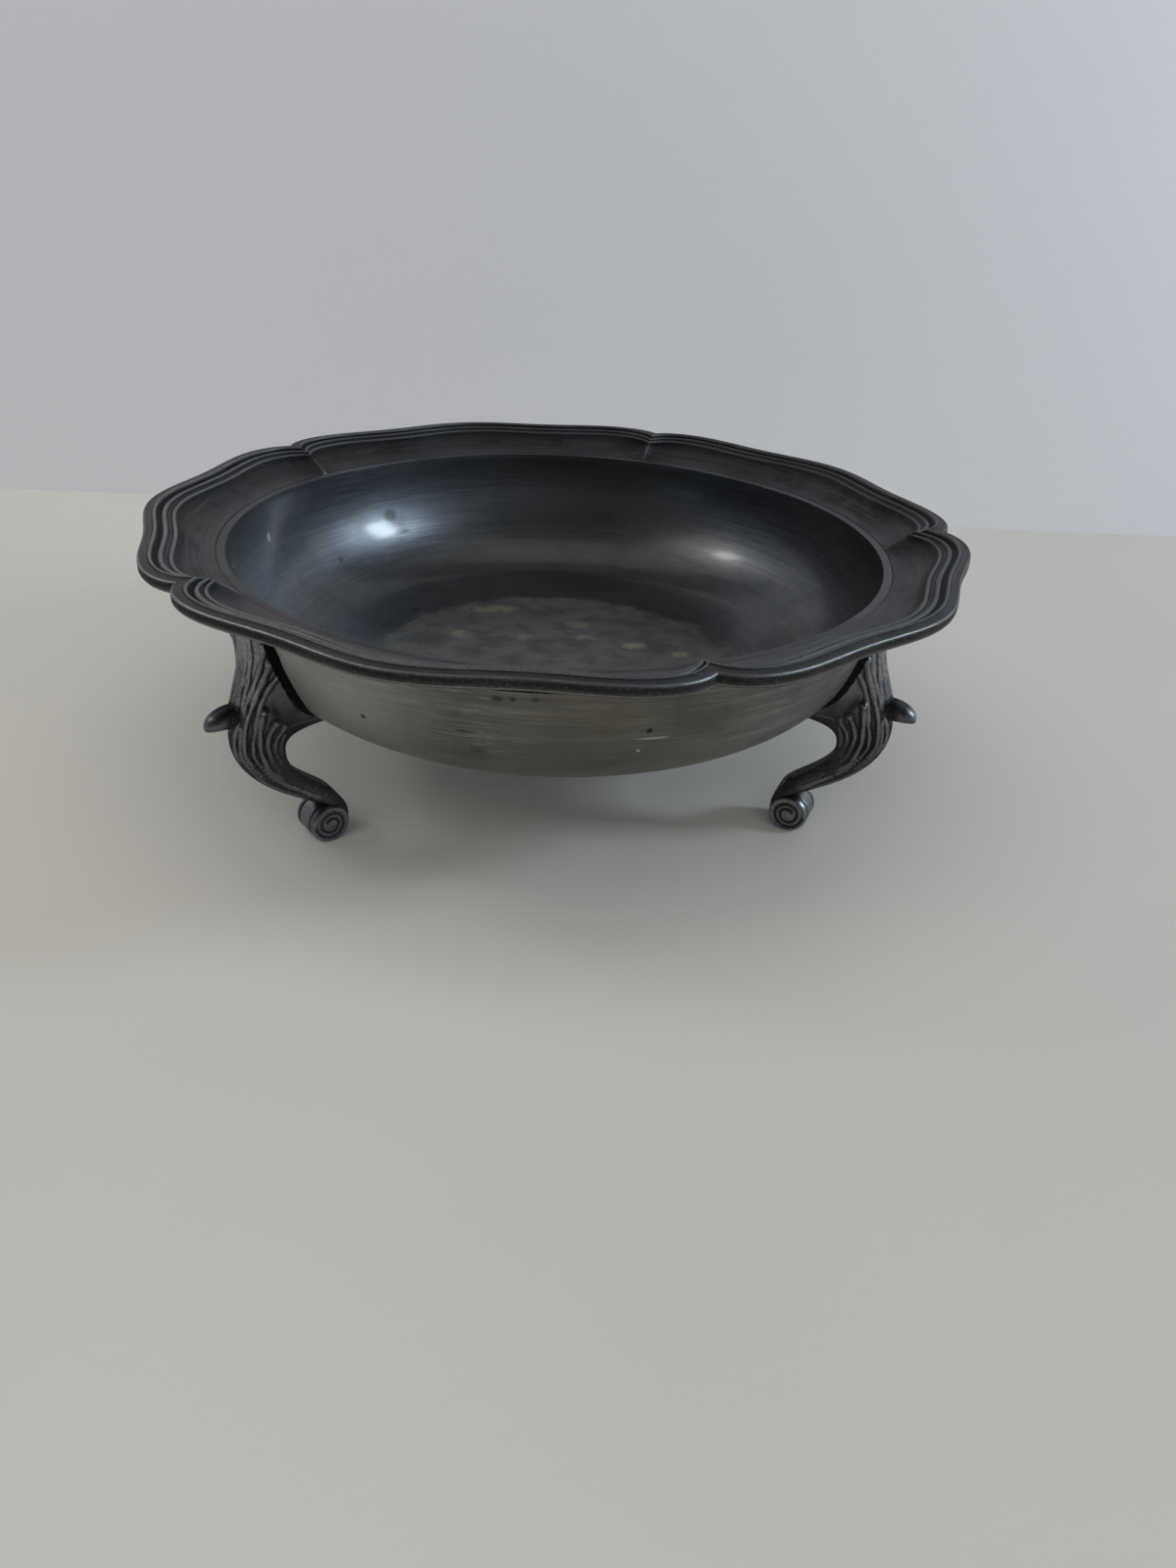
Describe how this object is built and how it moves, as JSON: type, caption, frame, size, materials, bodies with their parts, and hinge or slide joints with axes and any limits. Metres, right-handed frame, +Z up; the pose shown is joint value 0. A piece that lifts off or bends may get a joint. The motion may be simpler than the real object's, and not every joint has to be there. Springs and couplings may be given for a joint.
{
  "type": "footed dish",
  "caption": "Round pewter dish with a turned bowl, a lobed and moulded rim and scroll legs with leaf-tipped knees, for serving or display.",
  "frame": {"origin": "on the axis of the bowl, in the plane of the surface that the feet stand on", "axes": "+Z up along the axis of the bowl; -Y towards the viewer of the picture; +X to the viewer's right"},
  "size_m": [0.2747, 0.2718, 0.0963],
  "materials": {
    "turned_pewter": "turned satin pewter with a light patina",
    "rim_pewter": "cast pewter, dark patina, edges worn bright",
    "leg_pewter": "cast pewter, dark in the hollows, worn bright on the ridges",
    "solder": "dull dark solder"
  },
  "bodies": {
    "root": {"bowl": "turned_pewter", "rim": "rim_pewter", "rim_solder": "solder", "left_leg": "leg_pewter", "right_leg": "leg_pewter", "back_leg": "leg_pewter", "left_leg_solder": "solder", "right_leg_solder": "solder", "back_leg_solder": "solder"}
  },
  "joints": []
}
